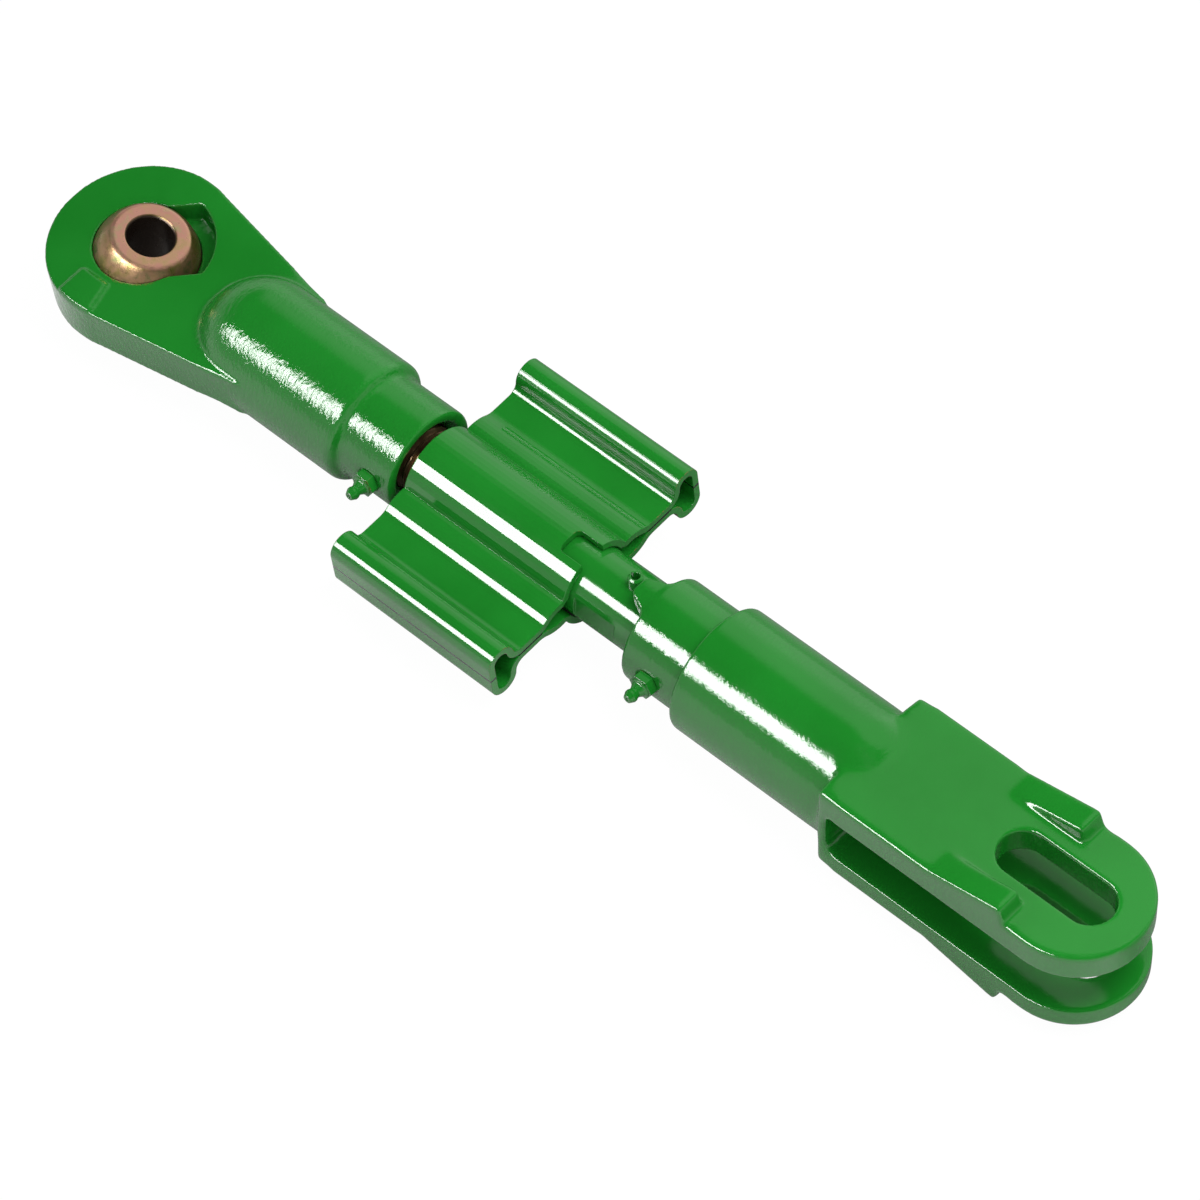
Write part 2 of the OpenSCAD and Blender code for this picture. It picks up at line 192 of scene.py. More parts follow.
def direction_part(tree, where, towards):
    """How far a direction points towards the given one, from -1 to 1."""
    dot = tree.nodes.new("ShaderNodeVectorMath")
    dot.operation = "DOT_PRODUCT"
    dot.inputs[1].default_value = Vector(towards).normalized()
    tree.links.new(where, dot.inputs[0])
    return dot.outputs["Value"]


def make_floor():
    """A floor that the camera sees as white, with the link's shadow on it."""
    mesh = bpy.data.meshes.new("studio_floor")
    r = FLOOR_REACH
    corners = [(-r, -r, FLOOR_Z), (r, -r, FLOOR_Z), (r, r, FLOOR_Z), (-r, r, FLOOR_Z)]
    mesh.from_pydata(corners, [], [(0, 1, 2, 3)])
    floor = bpy.data.objects.new("studio_floor", mesh)
    bpy.context.scene.collection.objects.link(floor)
    material, tree = new_tree("white_floor")
    matt = tree.nodes.new("ShaderNodeBsdfDiffuse")
    matt.inputs["Color"].default_value = FLOOR_GREY
    open_sky = tree.nodes.new("ShaderNodeAmbientOcclusion")
    open_sky.samples = 4
    open_sky.inputs["Distance"].default_value = SHADE_REACH
    path = tree.nodes.new("ShaderNodeLightPath")
    spot = tree.nodes.new("ShaderNodeNewGeometry").outputs["Position"]
    card = fade(tree, direction_part(tree, spot, (0, 1, 0)), 0.03, -0.03)
    card = calc(tree, "ADD", calc(tree, "MULTIPLY", card, CARD_GLOW), FAR_FLOOR_GLOW)
    shade = calc(tree, "POWER", open_sky.outputs["AO"], SHADE_DEPTH)
    mirrored = calc(tree, "MULTIPLY", shade, card)
    seen = tree.nodes.new("ShaderNodeMix")
    seen.inputs[2].default_value = SEEN_FLOOR
    glow = tree.nodes.new("ShaderNodeEmission")
    looked_at = path.outputs["Is Camera Ray"]
    share = calc(tree, "ADD", looked_at, path.outputs["Is Glossy Ray"], clamp=True)
    mix = tree.nodes.new("ShaderNodeMixShader")
    out = tree.nodes.new("ShaderNodeOutputMaterial")
    link_nodes(
        tree,
        (path.outputs["Is Glossy Ray"], seen.inputs[0]),
        (mirrored, seen.inputs[3]),
        (seen.outputs[0], glow.inputs["Strength"]),
        (calc(tree, "MULTIPLY", share, GLOW_SHARE), mix.inputs[0]),
        (matt.outputs[0], mix.inputs[1]),
        (glow.outputs[0], mix.inputs[2]),
        (mix.outputs[0], out.inputs["Surface"]),
    )
    mesh.materials.append(material)


def background(tree, strength):
    node = tree.nodes.new("ShaderNodeBackground")
    if isinstance(strength, (int, float)):
        node.inputs["Strength"].default_value = strength
    else:
        tree.links.new(strength, node.inputs["Strength"])
    return node.outputs[0]


def make_sky():
    """White to the camera, drawn walls to the gloss, and a soft sky to everything else."""
    world = bpy.data.worlds.new("studio_walls")
    bpy.context.scene.world = world
    world.use_nodes = True
    tree = world.node_tree
    tree.nodes.clear()
    where = tree.nodes.new("ShaderNodeTexCoord").outputs["Generated"]
    height = direction_part(tree, where, (0, 0, 1))
    soft_light = calc(tree, "ADD", calc(tree, "MULTIPLY", height, SKY_RISE), SKY_LEVEL)
    walls = fade(tree, height, WALL_TOP, WALL_FOOT)
    patch = fade(tree, direction_part(tree, where, PATCH_TOWARDS), PATCH_RIM, PATCH_CORE)
    drawn = calc(tree, "ADD", walls, calc(tree, "MULTIPLY", patch, PATCH_GLOW))
    mirrored = calc(tree, "ADD", drawn, LEAST_GLOW)
    path = tree.nodes.new("ShaderNodeLightPath")
    gloss = tree.nodes.new("ShaderNodeMixShader")
    mix = tree.nodes.new("ShaderNodeMixShader")
    out = tree.nodes.new("ShaderNodeOutputWorld")
    link_nodes(
        tree,
        (path.outputs["Is Glossy Ray"], gloss.inputs[0]),
        (background(tree, soft_light), gloss.inputs[1]),
        (background(tree, mirrored), gloss.inputs[2]),
        (path.outputs["Is Camera Ray"], mix.inputs[0]),
        (gloss.outputs[0], mix.inputs[1]),
        (background(tree, 1.0), mix.inputs[2]),
        (mix.outputs[0], out.inputs["Surface"]),
    )


def softbox(name, towards, distance, size, power, lights_paint, slide=0.0):
    """A rectangle of light in the given direction from the link, its long side along X.

    A box lights the paint or is mirrored in it, not both. slide moves it along its side.
    """
    lamp = bpy.data.lights.new(name, "AREA")
    lamp.shape = "RECTANGLE"
    lamp.size, lamp.size_y = size
    lamp.energy = power
    box = bpy.data.objects.new(name, lamp)
    bpy.context.scene.collection.objects.link(box)
    back = Vector(towards).normalized()
    along = (Vector((1, 0, 0)) - back * back.x).normalized()
    pose = Matrix((along, back.cross(along), back)).transposed().to_4x4()
    pose.translation = LINK_MIDDLE + back * distance + along * slide
    box.matrix_world = pose
    box.visible_diffuse = lights_paint
    box.visible_glossy = not lights_paint


def new_tree(name):
    material = bpy.data.materials.new(name)
    material.use_nodes = True
    tree = material.node_tree
    tree.nodes.clear()
    return material, tree


make_floor()
make_sky()
softbox("stripe_box", STRIPE_TOWARDS, STRIPE_AWAY, (1.85, 0.74), 109, False, slide=0.775)
softbox("stripe_box_end", STRIPE_TOWARDS, STRIPE_AWAY, (0.37, 0.32), 9.5, False, slide=-0.335)
softbox("top_box", TOP_TOWARDS, TOP_AWAY, (0.7, 0.7), 10, True)
print("floor at", round(FLOOR_Z, 4), "m; a softbox in two parts, a top light and white walls")


# %% [markdown]
# ## Paint
# The forgings and the handle carry the same glossy green. Paint over a forging follows
# its scale, which breaks up the edges of a mirrored stripe; over pressed sheet it lies
# flat and the stripe stays crisp. Both come from one recipe with different bump heights.
# The Bevel node softens the sharp edges of the solids and also finds them: where the
# softened normal leaves the true one there is an edge, and in a few spots there the paint
# is worn through to bronze. The forgings get truly round edges further down, so for them
# the node only finds the worn spots. A slow noise shifts the green a little, and a dark
# line is painted along the handle's seam, where its two shells meet, as painted shade of
# the gap between them.

# %% Paint recipe
GREEN = (0.0120, 0.2250, 0.0205, 1)
DEEP_GREEN = (0.0085, 0.1900, 0.0150, 1)
BRONZE = (0.23, 0.13, 0.045, 1)
# The dark colour of the seam line is painted shade of the gap between the handle's shells.
SEAM_GAP_SHADE = (0.002, 0.020, 0.004, 1)
EYE_TURN = math.radians(5)
SEAM_HALF_W = 0.0008
SEAM_RAGGED_SCALE = 220
PAINT_IOR = 1.5
GLOSS = (0.075, 0.13)
TONE_SCALE = 13
WEAR_SCALE = 45
WEAR_FROM, WEAR_TO = 0.60, 0.66
FLECK_SCALE = 700
DENT_SCALE = 400
DENT_STRETCH = (1.5, 0.6, 0.6)
SWELL_SCALE = 60
SWELL_HEIGHTS = 2.2
GRAIN_SCALE = 1600
GRAIN_HEIGHTS = 0.35
FLAT_FROM, FLAT_TO = 0.96, 0.99
LEFT_ON_FLATS = 0.12


def noise(tree, where, scale, detail=3.0, roughness=0.5):
    field = tree.nodes.new("ShaderNodeTexNoise")
    field.inputs["Scale"].default_value = scale
    field.inputs["Detail"].default_value = detail
    field.inputs["Roughness"].default_value = roughness
    tree.links.new(where, field.inputs["Vector"])
    return field.outputs["Fac"]


def ramp(tree, value, stops):
    node = tree.nodes.new("ShaderNodeValToRGB")
    elements = node.color_ramp.elements
    while len(elements) < len(stops):
        elements.new(0.5)
    for element, (position, color) in zip(elements, stops):
        element.position = position
        element.color = color
    tree.links.new(value, node.inputs[0])
    return node.outputs["Color"]


def grey_ramp(tree, value, low, high):
    return ramp(tree, value, [(0.3, (low, low, low, 1)), (0.7, (high, high, high, 1))])


def mix_colors(tree, share, a, b):
    node = tree.nodes.new("ShaderNodeMix")
    node.data_type = "RGBA"
    for socket, value in ((node.inputs[0], share), (node.inputs[6], a), (node.inputs[7], b)):
        if isinstance(value, tuple):
            socket.default_value = value
        else:
            tree.links.new(value, socket)
    return node.outputs[2]


def bump(tree, height, distance, normal=None, strength=None):
    node = tree.nodes.new("ShaderNodeBump")
    node.inputs["Distance"].default_value = distance
    if strength is not None:
        tree.links.new(strength, node.inputs["Strength"])
    tree.links.new(height, node.inputs["Height"])
    if normal is not None:
        tree.links.new(normal, node.inputs["Normal"])
    return node.outputs[0]


def soft_edges(tree, width):
    soft = tree.nodes.new("ShaderNodeBevel")
    soft.samples = 8
    soft.inputs["Radius"].default_value = width
    return soft.outputs[0]


def edge_mask(tree, soft_normal):
    """1 on sharp edges, 0 on open faces."""
    true = tree.nodes.new("ShaderNodeNewGeometry")
    dot = tree.nodes.new("ShaderNodeVectorMath")
    dot.operation = "DOT_PRODUCT"
    link_nodes(tree, (soft_normal, dot.inputs[0]), (true.outputs["Normal"], dot.inputs[1]))
    turned = calc(tree, "SUBTRACT", 1.0, dot.outputs["Value"])
    return fade(tree, turned, 0.02, 0.16)


def off_flats(tree):
    """Little on machined flats, which face up or down, and 1 on everything else."""
    true = tree.nodes.new("ShaderNodeNewGeometry").outputs["Normal"]
    upward = calc(tree, "ABSOLUTE", direction_part(tree, true, (0, 0, 1)))
    tilted = fade(tree, upward, FLAT_TO, FLAT_FROM)
    return calc(tree, "ADD", calc(tree, "MULTIPLY", tilted, 1 - LEFT_ON_FLATS), LEFT_ON_FLATS)


def seam_gap_shade_mask(tree, place):
    """1 along the handle's outer seam, where its two pressed shells meet edge to edge, where the
    painted shade of their gap goes.
    """
    away = direction_part(tree, place, (0, -math.sin(EYE_TURN), math.cos(EYE_TURN)))
    ragged = calc(tree, "MULTIPLY", noise(tree, place, SEAM_RAGGED_SCALE, 3), SEAM_HALF_W)
    reach = calc(tree, "ADD", ragged, SEAM_HALF_W * 0.6)
    inside = calc(tree, "SUBTRACT", reach, calc(tree, "ABSOLUTE", away))
    return fade(tree, inside, 0.0, SEAM_HALF_W * 0.3)


def chips(tree, place, soft_normal, wear):
    """Small spots along the edges where the paint is gone."""
    places = fade(tree, noise(tree, place, WEAR_SCALE, 3), WEAR_FROM - wear, WEAR_TO - wear)
    flecks = fade(tree, noise(tree, place, FLECK_SCALE, 4, 0.6), 0.47, 0.53)
    edges = edge_mask(tree, soft_normal)
    return calc(tree, "MULTIPLY", calc(tree, "MULTIPLY", edges, places), flecks)


def paint_relief(tree, place, dents, skin, normal):
    """Dents of the scale, longer around the link than along it, then swell and grain."""
    stretched = tree.nodes.new("ShaderNodeVectorMath")
    stretched.operation = "MULTIPLY"
    stretched.inputs[1].default_value = DENT_STRETCH
    tree.links.new(place, stretched.inputs[0])
    coarse = noise(tree, stretched.outputs[0], DENT_SCALE, 3, 0.55)
    relief = bump(tree, coarse, dents, normal, off_flats(tree))
    relief = bump(tree, noise(tree, place, SWELL_SCALE, 2), SWELL_HEIGHTS * skin, relief)
    return bump(tree, noise(tree, place, GRAIN_SCALE, 2), GRAIN_HEIGHTS * skin, relief)


def paint(name, dents, skin, soft_edge, wear, with_seam_gap_shade=False, sharp_solid=True):
    """Glossy paint. dents and skin are bump heights in metres, coarse and fine."""
    material, tree = new_tree(name)
    place = tree.nodes.new("ShaderNodeTexCoord").outputs["Object"]
    shader = tree.nodes.new("ShaderNodeBsdfPrincipled")
    out = tree.nodes.new("ShaderNodeOutputMaterial")
    shader.inputs["IOR"].default_value = PAINT_IOR
    soft_normal = soft_edges(tree, soft_edge)
    tone = noise(tree, place, TONE_SCALE, 4)
    green = ramp(tree, tone, [(0.32, DEEP_GREEN), (0.62, GREEN)])
    color = mix_colors(tree, chips(tree, place, soft_normal, wear), green, BRONZE)
    # A dark line along the handle's seam: painted shade of the gap between its shells.
    if with_seam_gap_shade:
        color = mix_colors(tree, seam_gap_shade_mask(tree, place), color, SEAM_GAP_SHADE)
    relief = paint_relief(tree, place, dents, skin, soft_normal if sharp_solid else None)
    cloudy = noise(tree, place, SWELL_SCALE, 5)
    link_nodes(
        tree,
        (color, shader.inputs["Base Color"]),
        (grey_ramp(tree, cloudy, *GLOSS), shader.inputs["Roughness"]),
        (relief, shader.inputs["Normal"]),
        (shader.outputs[0], out.inputs["Surface"]),
    )
    return material


rough_forging_paint = paint("rough_forging_paint", 0.00040, 0.00005, 0.003, 0.03, sharp_solid=False)
forging_paint = paint("forging_paint", 0.00016, 0.00005, 0.003, 0.0, sharp_solid=False)
sheet_paint = paint("sheet_paint", 0.00001, 0.00001, 0.0007, 0.05, with_seam_gap_shade=True)
bar_paint = paint("bar_paint", 0.00002, 0.00002, 0.0007, 0.0)
print("four paints from one recipe")


# %% [markdown]
# ## Yellow zinc on the ball
# The ball is plated and dipped, which leaves a thin film that shows gold, pink and olive
# by its thickness. A soft noise stands for that thickness and drives two colour ramps,
# a pale one for the flat faces and a darker one for the round side: over the film's tints,
# the flats carry painted light and the round side painted shade. The bore and its chamfer
# are painted dark as painted shade; they are picked out by their distance from the ball's
# own axis.

# %% Ball finish
BORE_R = 0.0127
BORE_AXIS = (0.2123, 0.0837, 0.9736)
# The bore and its chamfer are painted this dark colour as painted shade.
BORE_SHADE = (0.035, 0.022, 0.014, 1)
# Where the face turns from the round side, painted darker as shade, to the flats, painted paler as
# light.
ROUND_SIDE, FLAT_FACE = 0.72, 0.97


def distance_from_bore(tree, place):
    """A cross product with a unit axis is as long as the distance from that axis."""
    cross = tree.nodes.new("ShaderNodeVectorMath")
    cross.operation = "CROSS_PRODUCT"
    cross.inputs[1].default_value = Vector(BORE_AXIS).normalized()
    size = tree.nodes.new("ShaderNodeVectorMath")
    size.operation = "LENGTH"
    link_nodes(tree, (place, cross.inputs[0]), (cross.outputs[0], size.inputs[0]))
    return size.outputs["Value"]


def plated_ball():
    material, tree = new_tree("yellow_zinc")
    place = tree.nodes.new("ShaderNodeTexCoord").outputs["Object"]
    shader = tree.nodes.new("ShaderNodeBsdfPrincipled")
    out = tree.nodes.new("ShaderNodeOutputMaterial")
    film = noise(tree, place, 75, 6, 0.65)
    # The flat faces' film tints, lightened as painted light.
    flat_film_and_light = ramp(tree, film, [
        (0.30, (0.44, 0.33, 0.13, 1)), (0.42, (0.56, 0.33, 0.19, 1)), (0.54, (0.60, 0.29, 0.22, 1)),
        (0.68, (0.46, 0.38, 0.19, 1)),
    ])
    # The round side's film tints, darkened as painted shade.
    round_film_and_shade = ramp(tree, film, [
        (0.30, (0.09, 0.085, 0.020, 1)), (0.43, (0.17, 0.13, 0.035, 1)), (0.55, (0.26, 0.15, 0.08, 1)),
        (0.68, (0.10, 0.12, 0.035, 1)),
    ])
    true = tree.nodes.new("ShaderNodeNewGeometry").outputs["Normal"]
    along_axis = calc(tree, "ABSOLUTE", direction_part(tree, true, BORE_AXIS))
    flat_light_share = fade(tree, along_axis, ROUND_SIDE, FLAT_FACE)
    # Painted light on the flats and painted shade on the round side, over the film's tints.
    film_light_and_shade = mix_colors(tree, flat_light_share, round_film_and_shade, flat_film_and_light)
    away = distance_from_bore(tree, place)
    # Painted shade in the bore and on its chamfer.
    bore_shade_share = fade(tree, away, BORE_R + 0.0011, BORE_R + 0.0005)
    color = mix_colors(tree, bore_shade_share, film_light_and_shade, BORE_SHADE)
    relief = bump(tree, noise(tree, place, 700, 4), 0.00008, soft_edges(tree, 0.0012))
    shader.inputs["Metallic"].default_value = 0.7
    link_nodes(
        tree,
        (color, shader.inputs["Base Color"]),
        (grey_ramp(tree, noise(tree, place, 240, 5), 0.24, 0.4), shader.inputs["Roughness"]),
        (relief, shader.inputs["Normal"]),
        (shader.outputs[0], out.inputs["Surface"]),
    )
    return material


ball_finish = plated_ball()


# %% [markdown]
# ## The ball, turned
# The ball is a turned part: a sphere with two flats, a chamfered bore, and a generous
# rounding where flat and sphere meet. It is made as on a lathe. One half of its outline
# is drawn as points, out from the bore and down the sphere, and carried around the axis.

# %% Turned ball
BALL_R = 0.02935
BALL_HALF_W = 0.02075
BORE_EDGE = 0.0012
RIM_ROUND = 0.0045
RIM_STEPS = 10
SIDE_STEPS = 24
BALL_AROUND = 128


def half_outline():
    """Distance from the axis and height, from the bore's middle to the ball's equator."""
    rim_height = BALL_HALF_W - RIM_ROUND
    rim_away = math.sqrt((BALL_R - RIM_ROUND) ** 2 - rim_height ** 2)
    last = math.atan2(rim_height, rim_away)
    points = [(BORE_R, 0.0)]
    points.append((BORE_R, BALL_HALF_W - BORE_EDGE))
    points.append((BORE_R + BORE_EDGE, BALL_HALF_W))
    for i in range(RIM_STEPS + 1):
        lean = math.pi / 2 + (last - math.pi / 2) * i / RIM_STEPS
        away = rim_away + RIM_ROUND * math.cos(lean)
        points.append((away, rim_height + RIM_ROUND * math.sin(lean)))
    for i in range(1, SIDE_STEPS + 1):
        lean = last * (1 - i / SIDE_STEPS)
        points.append((BALL_R * math.cos(lean), BALL_R * math.sin(lean)))
    return points


def turned_ball():
    upper = half_outline()
    lower = [(r, -h) for r, h in reversed(upper[1:-1])]
    outline = upper + lower
    tip = Vector((0, 0, 1)).rotation_difference(Vector(BORE_AXIS).normalized())
    points = []
    for i in range(BALL_AROUND):
        turn = math.tau * i / BALL_AROUND
        for r, h in outline:
            points.append(tip @ Vector((r * math.cos(turn), r * math.sin(turn), h)))
    faces = []
    for i in range(BALL_AROUND):
        a, b = i * len(outline), (i + 1) % BALL_AROUND * len(outline)
        for k in range(len(outline)):
            m = (k + 1) % len(outline)
            faces.append((a + m, a + k, b + k, b + m))
    mesh = bpy.data.meshes.new("turned_ball")
    mesh.from_pydata(points, [], faces)
    mesh.materials.append(ball_finish)
    for face in mesh.polygons:
        face.use_smooth = True
    mesh.set_sharp_from_angle(angle=math.radians(30))
    ball = bpy.data.objects.new("turned_ball", mesh)
    bpy.context.scene.collection.objects.link(ball)
    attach(ball, "ball")
    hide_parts("swivel_ball")
    print("ball:", len(outline), "points in its outline,", BALL_AROUND, "around")


turned_ball()


# %% [markdown]
# ## Bare steel
# The spring and the check ball in each grease fitting are bright steel, which is plain
# metal with a fine drawn grain.

# %% Bright steel
def bright_steel():
    material, tree = new_tree("bright_steel")
    place = tree.nodes.new("ShaderNodeTexCoord").outputs["Object"]
    shader = tree.nodes.new("ShaderNodeBsdfPrincipled")
    out = tree.nodes.new("ShaderNodeOutputMaterial")
    shader.inputs["Metallic"].default_value = 1.0
    grain = noise(tree, place, 1500, 4)
    color = ramp(tree, grain, [(0.3, (0.38, 0.37, 0.35, 1)), (0.7, (0.56, 0.55, 0.52, 1))])
    link_nodes(
        tree,
        (color, shader.inputs["Base Color"]),
        (grey_ramp(tree, grain, 0.22, 0.36), shader.inputs["Roughness"]),
        (bump(tree, grain, 0.00002), shader.inputs["Normal"]),
        (shader.outputs[0], out.inputs["Surface"]),
    )
    return material


steel_finish = bright_steel()


# %% [markdown]
# ## The screw's thread
# The solid screw has a plain cylinder where the real one is threaded. Here the whole
# screw is made again as one grid of points around the axis, and a small rule gives each
# point its radius: a groove that climbs one pitch per turn, the plain shaft, the two
# wrench flats and the head. The crests keep the solid's diameter, so the new screw stays
# inside it. The first part of the thread was in the barrel when the link was painted, so
# it is bare and oiled; its oiled brown is darkened further as painted shade of the gap
# where it shows.

# %% Screw with its thread
THREAD_R = 0.01905
THREAD_DEPTH = 0.0021
PITCH = 0.0254 / 6
THREAD_FROM = 0.110
THREAD_TO = 0.2925
PAINT_FROM = 0.2135
SCREW_START = 0.072
SHAFT_START = 0.295
SHAFT_R = 0.020
FLATS = (0.326, 0.353)
FLAT_HALF_W = 0.0185
HEAD_START = 0.430
HEAD_END = 0.450
HEAD_R = 0.02565
CORNER = 0.002
AROUND = 96
SHAFT_STEP = 0.0009
FLANK_SLOPE = 3.2
FLANK_SHIFT = 0.25
STATIONS_PER_TURN = 10
HAIR = 0.00001


def screw_radius(x, turn):
    """Radius of the screw at a place along it and an angle around it."""
    if x >= HEAD_START:
        return HEAD_R - max(0.0, x - (HEAD_END - CORNER))
    if x > SHAFT_START + SHAFT_STEP:
        if FLATS[0] < x < FLATS[1]:
            return min(SHAFT_R, FLAT_HALF_W / max(abs(math.sin(turn)), 1e-6))
        return SHAFT_R
    radius = THREAD_R - max(0.0, SCREW_START + CORNER - x)
    if THREAD_FROM < x < THREAD_TO:
        phase = (x / PITCH - turn / math.tau) % 1.0
        groove = max(0.0, min(1.0, FLANK_SLOPE * (0.5 - abs(phase - 0.5)) - FLANK_SHIFT))
        runout = min(1.0, (THREAD_TO - x) / PITCH, (x - THREAD_FROM) / PITCH)
        radius -= THREAD_DEPTH * groove * runout
    return radius


def screw_stations():
    """Places along the screw: close together in the thread, doubled at each step."""
    step = PITCH / STATIONS_PER_TURN
    count = int((THREAD_TO - THREAD_FROM) / step) + 1
    places = [SCREW_START, SCREW_START + CORNER, THREAD_FROM]
    places += [THREAD_FROM + step * i for i in range(1, count + 1)]
    places += [SHAFT_START, SHAFT_START + SHAFT_STEP + HAIR]
    for edge in FLATS:
        places += [edge - HAIR, edge + HAIR]
    places += [HEAD_START - HAIR, HEAD_START, HEAD_END - CORNER, HEAD_END]
    return sorted(places)


def tube_faces(rings, around):
    """Faces between neighbouring rings of points, and one face over each end."""
    faces = []
    for i in range(rings - 1):
        a, b = i * around, (i + 1) * around
        for j in range(around):
            k = (j + 1) % around
            faces.append((a + j, a + k, b + k, b + j))
    faces.append(tuple(range(around))[::-1])
    faces.append(tuple((rings - 1) * around + j for j in range(around)))
    return faces


def make_screw():
    stations = screw_stations()
    points = []
    for x in stations:
        for i in range(AROUND):
            turn = math.tau * i / AROUND
            r = screw_radius(x, turn)
            points.append((x, r * math.sin(turn), r * math.cos(turn)))
    mesh = bpy.data.meshes.new("threaded_screw")
    mesh.from_pydata(points, [], tube_faces(len(stations), AROUND))
    mesh.materials.append(bar_paint)
    mesh.materials.append(shaded_thread_steel)
    for face in mesh.polygons:
        face.use_smooth = True
        if face.center.x < PAINT_FROM:
            face.material_index = 1
    mesh.set_sharp_from_angle(angle=math.radians(28))
    mesh.validate()
    screw = bpy.data.objects.new("threaded_screw", mesh)
    bpy.context.scene.collection.objects.link(screw)
    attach(screw, "screw")
    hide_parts("lift_screw")
    print("screw:", len(stations), "rows of", AROUND, "points")


def oiled_shaded_steel():
    material, tree = new_tree("oiled_shaded_thread_steel")
    place = tree.nodes.new("ShaderNodeTexCoord").outputs["Object"]
    shader = tree.nodes.new("ShaderNodeBsdfPrincipled")
    out = tree.nodes.new("ShaderNodeOutputMaterial")
    shader.inputs["Metallic"].default_value = 0.75
    # Oiled steel browns, darkened further as painted shade of the gap where the thread shows.
    oil_and_shade = [(0.35, (0.05, 0.028, 0.012, 1)), (0.65, (0.14, 0.09, 0.045, 1))]
    film = ramp(tree, noise(tree, place, 90, 4), oil_and_shade)
    link_nodes(
        tree,
        (film, shader.inputs["Base Color"]),
        (grey_ramp(tree, noise(tree, place, 200, 4), 0.25, 0.45), shader.inputs["Roughness"]),
        (bump(tree, noise(tree, place, 900, 3), 0.00003), shader.inputs["Normal"]),
        (shader.outputs[0], out.inputs["Surface"]),
    )
    return material


shaded_thread_steel = oiled_shaded_steel()
make_screw()


# %% [markdown]
# ## Forged skins
# A forging has no sharp edge: its dies are rounded, and scale and paint round it more.
# The solids have few such roundings, so each forging is made again from its own solid.
# A voxel remesh turns the solid into an even skin of small squares, a few rounds of
# smoothing round every edge, and more rounds where a wide fillet belongs. The skin is
# then drawn in by a tenth of a millimetre, so that it stays inside the solid, and thinned
# out, most where it is flat. All the new places are worked out before any point moves,
# because Blender works out every normal again after each point that moves.

# %% Forged skin
VOXEL = 0.0008
DRAWN_IN = 0.0001
SMOOTH_SHARE = 0.5
EDGE_ROUNDS = 12
KEPT_SHARE = 0.22


def settle(piece):
    """Applies the modifiers of a piece to its mesh."""
    view = bpy.context.evaluated_depsgraph_get()
    mesh = bpy.data.meshes.new_from_object(piece.evaluated_get(view))
    piece.modifiers.clear()
    piece.data = mesh
    mesh.name = piece.name


def smoothing(piece, rounds, places=""):
    smooth = piece.modifiers.new("rounding", "SMOOTH")
    smooth.factor = SMOOTH_SHARE
    smooth.iterations = rounds
    smooth.vertex_group = places


def forged(name, node, body, fillets, turn=0.0, fit=None):
    """The forging's skin. fillets gives (rounds, share at a point) for each wide fillet.

    The voxels lie square to a forging that stands turned about X by the angle turn.
    """
    piece = bpy.data.objects.new(name, nodes[node].data.copy())
    piece.data.transform(Matrix.Rotation(-turn, 4, "X"))
    bpy.context.scene.collection.objects.link(piece)
    remesh = piece.modifiers.new("skin", "REMESH")
    remesh.mode = "VOXEL"
    remesh.voxel_size = VOXEL
    smoothing(piece, EDGE_ROUNDS)
    settle(piece)
    for i, (rounds, share) in enumerate(fillets):
        places = piece.vertex_groups.new(name=f"fillet_{i}")
        for vertex in piece.data.vertices:
            weight = share(vertex.co)
            if weight > 0:
                places.add([vertex.index], min(1.0, weight), "REPLACE")
        smoothing(piece, rounds, places.name)
    settle(piece)
    piece.vertex_groups.clear()
    piece.data.transform(Matrix.Rotation(turn, 4, "X"))
    inner = [vertex.co - vertex.normal * DRAWN_IN for vertex in piece.data.vertices]
    if fit:
        inner = [fit(p) for p in inner]
    piece.data.vertices.foreach_set("co", [v for p in inner for v in p])
    thin = piece.modifiers.new("thin", "DECIMATE")
    thin.ratio = KEPT_SHARE
    settle(piece)
    for face in piece.data.polygons:
        face.use_smooth = True
    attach(piece, body)
    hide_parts(node)
    print(name, "has", len(piece.data.polygons), "faces")
    return piece


# %% [markdown]
# ## Where the wide fillets are
# The round end of each barrel runs into its flat plate through a fillet, and so do the
# four wedges beside the pin slots and the fork's corners at the barrel. Each fillet is a
# small rule that says how much of the smoothing a point gets. The seat of the ball gets
# a hair's breadth of air, which shows as a thin dark line around the ball.

# %% The three forgings
EYE_HALF_T = 0.01375
UPPER_DOME_X = 0.088
SEAT_R = 0.0294
SEAT_AIR = 0.0004
SEAT_CATCH = 0.0006
UPPER_RING = 0.0324
UPPER_RING_W = 0.009
LOWER_RING = 0.0205
LOWER_RING_W = 0.010
LOWER_DOME_X = 0.497
FORK_START = 0.503
FORK_HALF_T = 0.0295
FORK_HALF_W = 0.0386
WEDGE = (0.573, 0.620)
WEDGE_INNER_Y = 0.0225


def ramp_share(value, low, high):
    """0 at low, 1 at high, straight between. low may also lie above high."""
    return max(0.0, min(1.0, (value - low) / (high - low)))


def dome_ring(p, dome_x, ring, wide, level):
    """Share of the fillet where a barrel's round end meets the face of its plate."""
    away = abs(math.hypot(p.x - dome_x, p.y) - ring)
    above = ramp_share(abs(p.z), level - 0.003, level - 0.001)
    return ramp_share(away, wide, wide * 0.5) * above


def eye_fillet(p):
    """The ring on the eye's plate, up to where the barrel runs straight."""
    ring = dome_ring(p, UPPER_DOME_X, UPPER_RING, UPPER_RING_W, EYE_HALF_T)
    low = ramp_share(abs(p.z), 0.026, 0.022)
    return ring * ramp_share(p.x, UPPER_DOME_X + 0.012, UPPER_DOME_X) * low


def fork_fillet(p):
    """The ring on the fork's faces."""
    return dome_ring(p, LOWER_DOME_X, LOWER_RING, LOWER_RING_W, FORK_HALF_T)


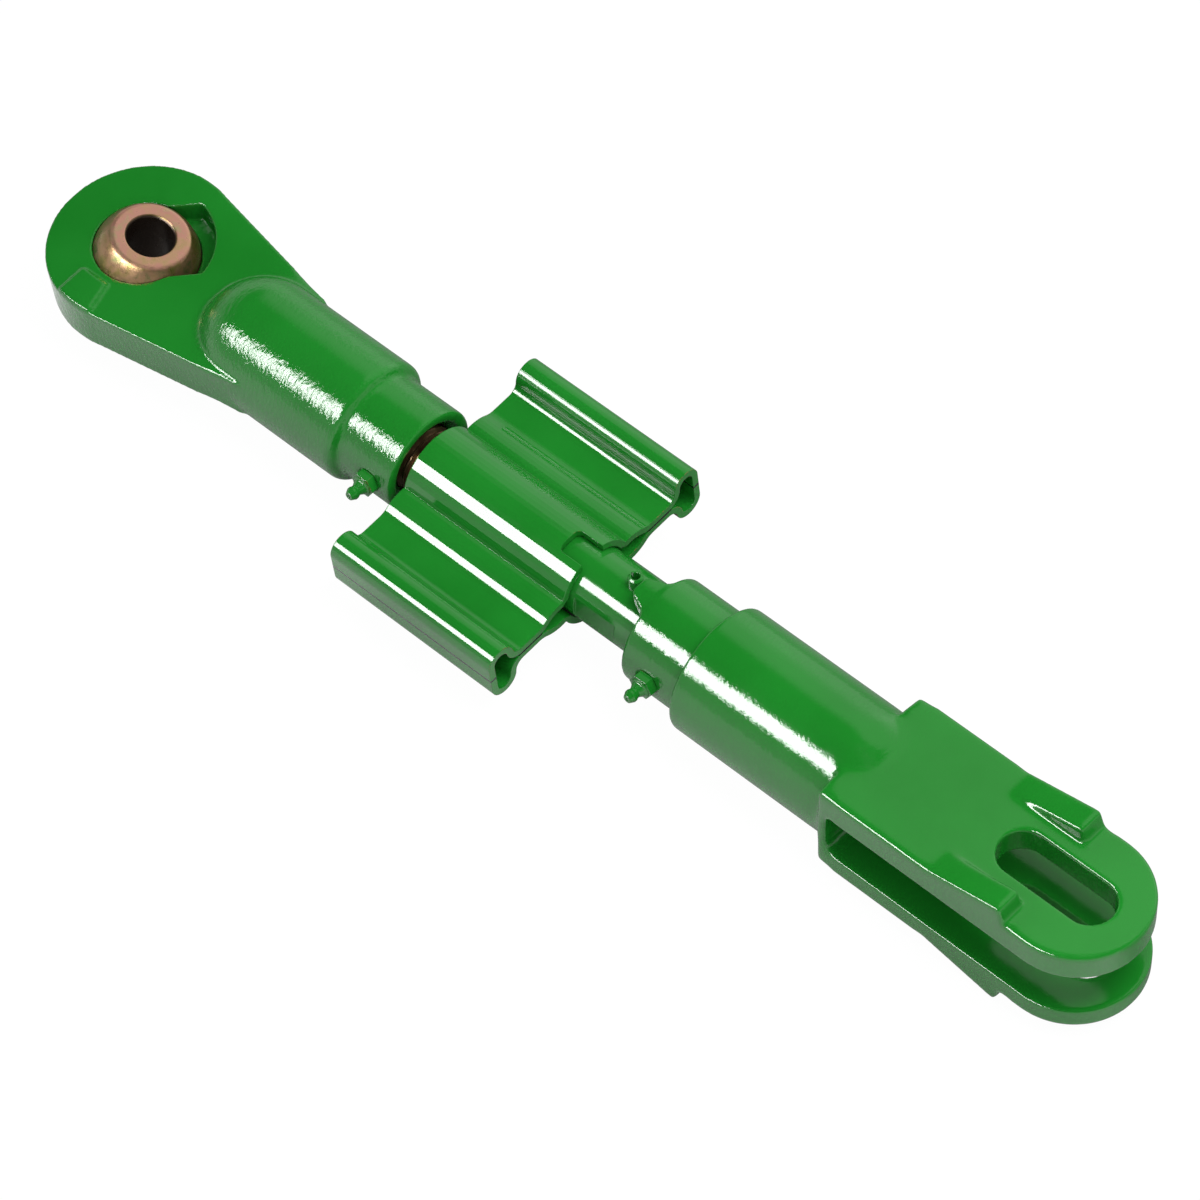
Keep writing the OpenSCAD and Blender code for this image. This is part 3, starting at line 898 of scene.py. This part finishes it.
def fork_corner(p):
    """The two upright corners of the fork beside the barrel."""
    return ramp_share(math.hypot(p.x - FORK_START, abs(p.y) - FORK_HALF_W), 0.012, 0.006)


def wedge_fillet(p):
    """The four wedges, but not the edges of the slots between them."""
    after_start = ramp_share(p.x, WEDGE[0] - 0.008, WEDGE[0])
    before_end = ramp_share(p.x, WEDGE[1] + 0.008, WEDGE[1] + 0.004)
    outside = ramp_share(abs(p.y), WEDGE_INNER_Y - 0.007, WEDGE_INNER_Y - 0.005)
    above = ramp_share(abs(p.z), FORK_HALF_T - 0.004, FORK_HALF_T - 0.002)
    return after_start * before_end * outside * above


def open_seat(p):
    """Moves points of the ball's seat outwards, to leave a line of air around the ball."""
    away = p.length
    if abs(away - SEAT_R) < SEAT_CATCH:
        return p * ((SEAT_R + SEAT_AIR) / away)
    return p


eye_skin = forged(
    "upper_forging", "upper_link", "upper_half", [(46, eye_fillet)], turn=EYE_TURN, fit=open_seat,
)
fork_skin = forged(
    "lower_forging", "lower_link", "lower_half",
    [(62, fork_fillet), (94, fork_corner), (40, wedge_fillet)],
)
sleeve_skin = forged("sleeve_forging", "swivel_collar", "lower_half", [])


# %% [markdown]
# ## Springs in the grease fittings
# Under each check ball sits a light coil spring. The solid model has a sleeve in its
# place. Here it is a real coil, a thin wire wound around the fitting's own axis.

# %% Coil springs
COIL_R = 0.00115
WIRE_R = 0.00022
COIL_TURNS = 9
WIRE_AROUND = 8
COIL_STEPS = 20


def coil_points(bottom, top):
    """Rings of points around the wire, from one end of the coil to the other."""
    count = COIL_TURNS * COIL_STEPS
    points = []
    for i in range(count + 1):
        turn = math.tau * i / COIL_STEPS
        out = Vector((math.cos(turn), 0, math.sin(turn)))
        centre = bottom + (top - bottom) * i / count + out * COIL_R
        for j in range(WIRE_AROUND):
            lean = math.tau * j / WIRE_AROUND
            across = out * WIRE_R * math.cos(lean)
            points.append(centre + across + Vector((0, WIRE_R * math.sin(lean), 0)))
    return points


def coil(name, node, body, finish):
    """A coil in the place of a node's sleeve."""
    low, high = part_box(node)
    middle_x = (low[0] + high[0]) / 2
    middle_z = (low[2] + high[2]) / 2
    bottom = Vector((middle_x, high[1] - WIRE_R, middle_z))
    top = Vector((middle_x, low[1] + WIRE_R, middle_z))
    mesh = bpy.data.meshes.new(name)
    rings = COIL_TURNS * COIL_STEPS + 1
    mesh.from_pydata(coil_points(bottom, top), [], tube_faces(rings, WIRE_AROUND))
    mesh.materials.append(finish)
    for face in mesh.polygons:
        face.use_smooth = True
    spring = bpy.data.objects.new(name, mesh)
    bpy.context.scene.collection.objects.link(spring)
    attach(spring, body)
    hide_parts(node)
    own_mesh(spring)


coil("upper_coil", "upper_fitting_spring", "upper_half", steel_finish)
coil("lower_coil", "lower_fitting_spring", "lower_half", steel_finish)


# %% [markdown]
# ## Who wears which finish
# The handle, the pin and the fittings keep the mesh of their solids, and only their
# material changes. The forgings' new skins are painted here too.

# %% Dress the parts
FINISHES = {
    nodes["spring_pin"]: bar_paint,
    nodes["handle_top_shell"]: sheet_paint,
    nodes["handle_bottom_shell"]: sheet_paint,
    nodes["upper_fitting_body"]: bar_paint,
    nodes["lower_fitting_body"]: bar_paint,
    nodes["upper_fitting_ball"]: steel_finish,
    nodes["lower_fitting_ball"]: steel_finish,
    eye_skin: rough_forging_paint,
    fork_skin: forging_paint,
    sleeve_skin: forging_paint,
}


def dress(part, finish):
    part.data.materials.clear()
    part.data.materials.append(finish)


for part, finish in FINISHES.items():
    dress(part, finish)
print("dressed", len(FINISHES), "parts")
